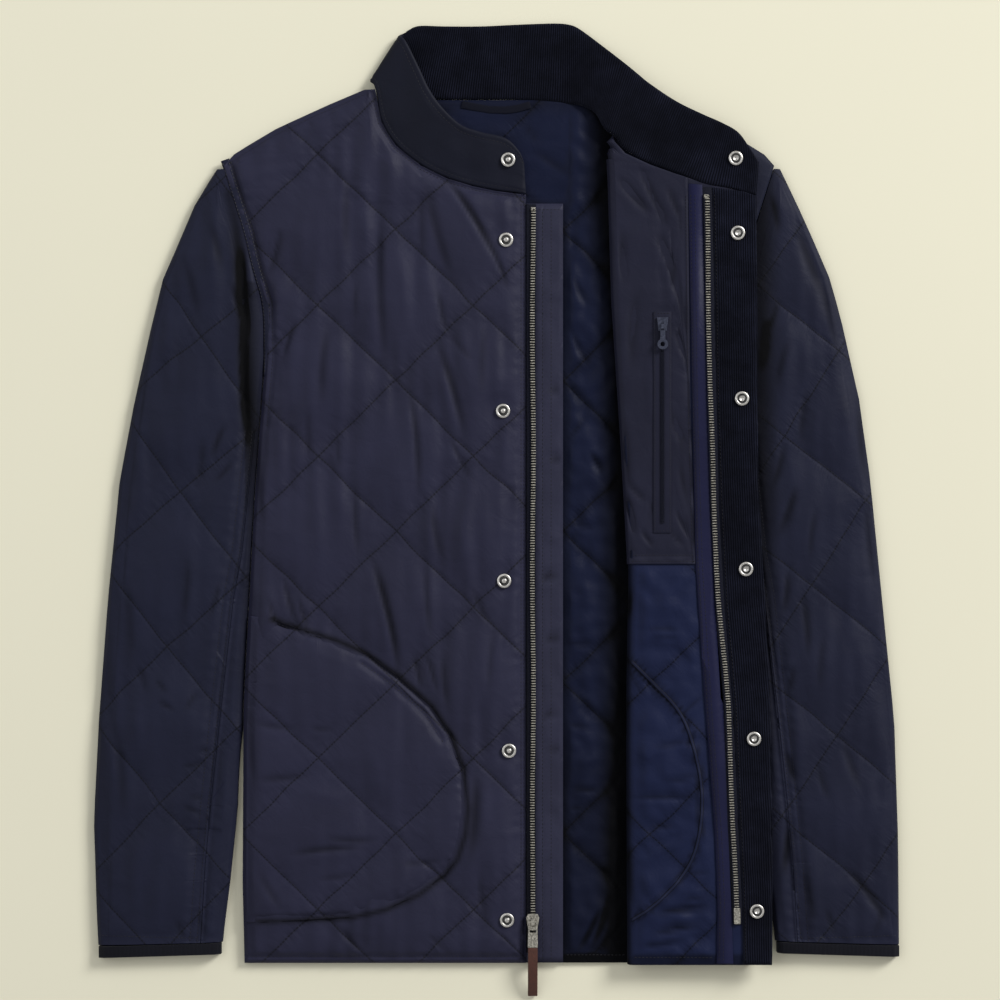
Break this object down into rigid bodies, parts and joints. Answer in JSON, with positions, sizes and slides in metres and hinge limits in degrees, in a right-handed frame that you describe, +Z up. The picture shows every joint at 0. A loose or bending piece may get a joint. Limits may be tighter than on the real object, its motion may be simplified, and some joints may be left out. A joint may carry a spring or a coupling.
{
  "type": "quilted jacket",
  "caption": "Quilted jacket laid flat, zip open and one front folded back to show its lining; stand collar, corduroy placket, snaps, curved hip pocket.",
  "frame": {"origin": "middle of the laid garment's outline, on the surface that it lies on", "axes": "+Y towards the collar, +X towards the wearer's left sleeve, +Z up from the surface"},
  "size_m": [0.6696, 0.8098, 0.0242],
  "materials": {
    "shell": "matt woven nylon, navy",
    "lining": "smooth woven lining, dark blue",
    "corduroy": "corduroy, near-black navy",
    "binding": "bound edge, near black",
    "zip_tape": "woven zip tape",
    "zip_metal": "antique nickel",
    "nickel": "polished nickel",
    "leather": "brown leather"
  },
  "bodies": {
    "jacket": {"front_right": "shell", "pocket_right": "shell", "back": "lining", "front_left": "lining", "chest_panel": "shell", "facing_strip": "lining", "zip_tape_left": "zip_tape", "placket_corduroy": "corduroy", "pocket_seam_left": "binding", "sleeve_right_upper": "shell", "sleeve_right_under": "shell", "cuff_binding_right": "binding", "sleeve_left_upper": "shell", "sleeve_left_under": "shell", "cuff_binding_left": "binding", "collar_outer": "shell", "collar_corduroy": "corduroy", "hanger_loop": "binding", "wind_flap": "shell", "zip_tape_right": "zip_tape", "zip_teeth_right": "zip_metal", "zip_teeth_left": "zip_metal", "zip_pin": "zip_metal", "zip_box": "zip_metal", "snap_stud_1": "nickel", "snap_stud_2": "nickel", "snap_stud_3": "nickel", "snap_stud_4": "nickel", "snap_stud_5": "nickel", "snap_socket_1": "nickel", "snap_socket_2": "nickel", "snap_socket_3": "nickel", "snap_socket_4": "nickel", "snap_socket_5": "nickel", "snap_stud_collar": "nickel", "snap_socket_collar": "nickel", "slider_main": "zip_metal", "chest_zip_tape": "shell", "chest_zip_teeth": "zip_tape", "chest_slider": "nickel"},
    "zip_pull": {"pull_main": "zip_metal", "pull_leather": "leather"},
    "chest_zip_pull": {"chest_pull": "nickel"}
  },
  "joints": [
    {"name": "zip_pull_lift", "type": "hinge", "parent": "jacket", "child": "zip_pull", "pos_m": [0.028, -0.3407, 0.0121], "axis": [-1, 0, 0], "range_deg": [0, 150]},
    {"name": "chest_pull_lift", "type": "hinge", "parent": "jacket", "child": "chest_zip_pull", "pos_m": [0.1352, 0.1528, 0.0218], "axis": [-1, 0, 0], "range_deg": [0, 150]}
  ]
}
